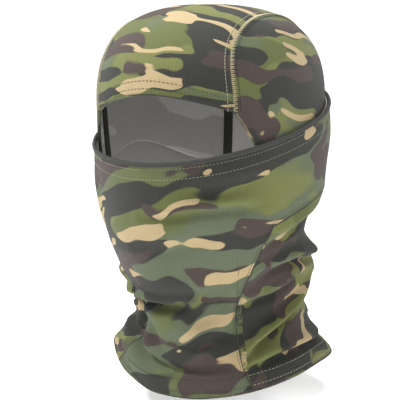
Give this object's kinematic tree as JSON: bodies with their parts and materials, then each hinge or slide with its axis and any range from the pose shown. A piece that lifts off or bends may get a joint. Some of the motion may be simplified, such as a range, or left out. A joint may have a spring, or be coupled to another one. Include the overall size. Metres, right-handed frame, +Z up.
{
  "type": "camouflage face mask",
  "caption": "Stretch knit balaclava in woodland camouflage: close hood with a brow hem, pull-down face shield and neck tube.",
  "frame": {"origin": "centre of the neck opening, in the plane of the neck hem", "axes": "+Z up to the crown, -Y out of the face, +X to the wearer's left"},
  "size_m": [0.1704, 0.2175, 0.282],
  "materials": {
    "camo_knit": "matte",
    "grey_reverse": "matte",
    "black_binding": "matte",
    "elastic_tape": "matte",
    "light_thread": "satin",
    "dark_thread": "satin"
  },
  "bodies": {
    "neck": {"face_panel": "camo_knit", "nape_panel": "camo_knit", "side_seam_left": "dark_thread", "side_seam_right": "dark_thread", "neck_hem_front": "grey_reverse", "neck_hem_rear": "grey_reverse", "hood_join_seam": "dark_thread"},
    "hood": {"hood_centre_panel": "camo_knit", "hood_side_panel_left": "camo_knit", "hood_side_panel_right": "camo_knit", "crown_seam_left": "light_thread", "crown_seam_right": "light_thread", "crown_tape_left": "black_binding", "crown_tape_right": "black_binding", "brow_hem": "grey_reverse", "brow_elastic": "elastic_tape", "opening_hem_left": "grey_reverse", "opening_hem_right": "grey_reverse", "opening_facing_left": "black_binding", "opening_facing_right": "black_binding"},
    "shield": {"shield_top_hem": "camo_knit", "shield_elastic": "elastic_tape"}
  },
  "joints": [
    {"name": "hood_push_back", "type": "hinge", "parent": "neck", "child": "hood", "pos_m": [0, 0.102, 0.223], "axis": [-1, 0, 0], "range_deg": [0, 70]},
    {"name": "shield_pull_down", "type": "hinge", "parent": "neck", "child": "shield", "pos_m": [0, 0.102, 0.223], "axis": [1, 0, 0], "range_deg": [0, 26], "deforming": ["face_panel", "nape_panel", "side_seam_left", "side_seam_right"]}
  ]
}
